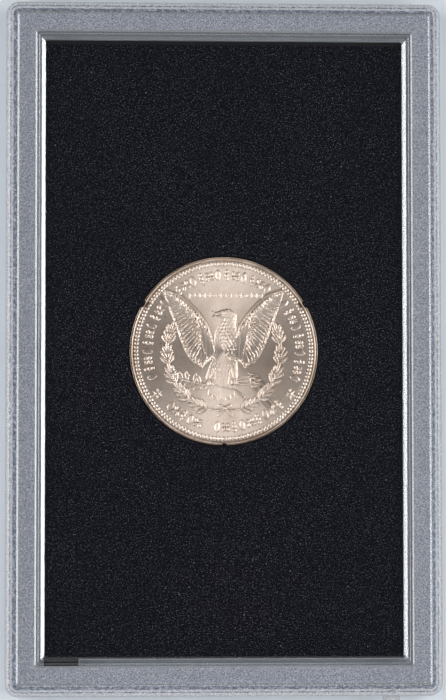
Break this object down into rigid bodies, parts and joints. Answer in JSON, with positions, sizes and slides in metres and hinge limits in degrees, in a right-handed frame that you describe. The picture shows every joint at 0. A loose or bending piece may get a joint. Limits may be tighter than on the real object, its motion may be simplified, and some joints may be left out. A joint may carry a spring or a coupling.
{
  "type": "coin display slab",
  "caption": "Clear two-part rectangular display case with a frosted rim, holding one large silver coin in a black insert.",
  "frame": {"origin": "on the resting plane, under the middle of the case's bounding box", "axes": "+X right and +Y up when the coin's eagle side is read from above, +Z out of that side"},
  "size_m": [0.088, 0.141, 0.0095],
  "materials": {
    "clear_plastic": "clear moulded plastic, polished over the windows and frosted on the rim",
    "black_card": "matt black with a fine light flock",
    "black_plastic": "satin black moulding",
    "silver": "struck silver with lustre and light toning"
  },
  "bodies": {
    "case_base": {"lower_shell": "clear_plastic"},
    "insert_base": {"lower_card": "black_card", "insert_core": "black_plastic"},
    "coin_body": {"coin": "silver"},
    "insert_cover": {"upper_card": "black_card"},
    "case_lid": {"upper_shell": "clear_plastic"}
  },
  "joints": [
    {"name": "insert_lift", "type": "slide", "parent": "case_base", "child": "insert_base", "axis": [0, 0, 1], "range_m": [0, 0.016]},
    {"name": "coin_lift", "type": "slide", "parent": "insert_base", "child": "coin_body", "axis": [0, 0, 1], "range_m": [0, 0.012]},
    {"name": "card_lift", "type": "slide", "parent": "coin_body", "child": "insert_cover", "axis": [0, 0, 1], "range_m": [0, 0.012]},
    {"name": "lid_lift", "type": "slide", "parent": "insert_cover", "child": "case_lid", "axis": [0, 0, 1], "range_m": [0, 0.03]}
  ]
}
